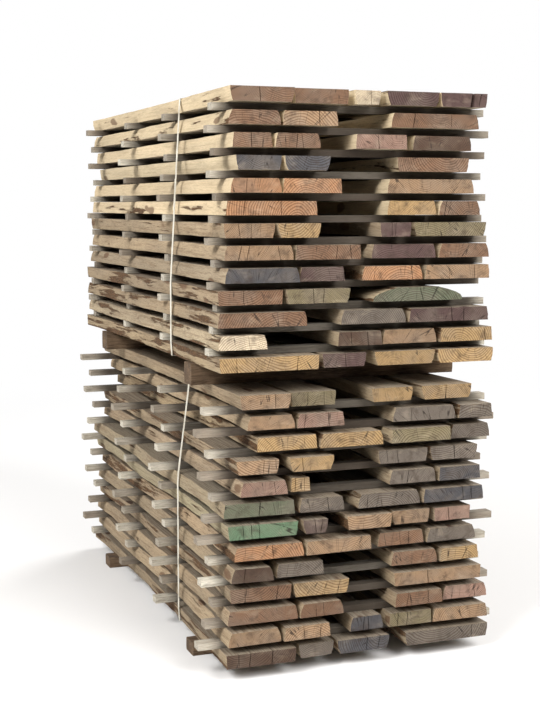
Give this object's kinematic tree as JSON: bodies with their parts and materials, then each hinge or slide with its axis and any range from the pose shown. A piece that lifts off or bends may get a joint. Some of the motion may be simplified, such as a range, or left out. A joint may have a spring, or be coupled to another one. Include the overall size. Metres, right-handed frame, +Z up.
{
  "type": "stack of lumber",
  "caption": "Stack of air-drying unedged sawn boards in strapped bundles, with stickers between the layers and crosswise bearers under each bundle.",
  "frame": {"origin": "middle of the stack's footprint, on the ground under the bearers", "axes": "+X across the boards to the right seen from the front, +Y along the boards from the front ends to the back ends, +Z up"},
  "size_m": [1.188, 2, 2.0833],
  "materials": {
    "sawn_board": "rough sawn softwood, greyed and orange-brown by weather, with waney edges",
    "sticker": "rough sawn lath, pale and weathered",
    "bearer": "rough sawn timber, dark and damp",
    "strap": "off-white woven strapping with a faint ribbed surface"
  },
  "bodies": {
    "root": {"ground_bearers": "bearer", "lower_layer_01": "sawn_board", "lower_layer_02": "sawn_board", "lower_layer_03": "sawn_board", "lower_layer_04": "sawn_board", "lower_layer_05": "sawn_board", "lower_layer_06": "sawn_board", "lower_layer_07": "sawn_board", "lower_layer_08": "sawn_board", "lower_layer_09": "sawn_board", "lower_layer_10": "sawn_board", "lower_layer_11": "sawn_board", "lower_layer_12": "sawn_board", "lower_layer_13": "sawn_board", "lower_stickers_1": "sticker", "lower_stickers_2": "sticker", "lower_stickers_3": "sticker", "lower_stickers_4": "sticker", "lower_strap": "strap", "middle_bearers": "bearer", "upper_layer_01": "sawn_board", "upper_layer_02": "sawn_board", "upper_layer_03": "sawn_board", "upper_layer_04": "sawn_board", "upper_layer_05": "sawn_board", "upper_layer_06": "sawn_board", "upper_layer_07": "sawn_board", "upper_layer_08": "sawn_board", "upper_layer_09": "sawn_board", "upper_layer_10": "sawn_board", "upper_layer_11": "sawn_board", "upper_layer_12": "sawn_board", "upper_layer_13": "sawn_board", "upper_stickers_1": "sticker", "upper_stickers_2": "sticker", "upper_stickers_3": "sticker", "upper_stickers_4": "sticker", "upper_strap": "strap"}
  },
  "joints": []
}
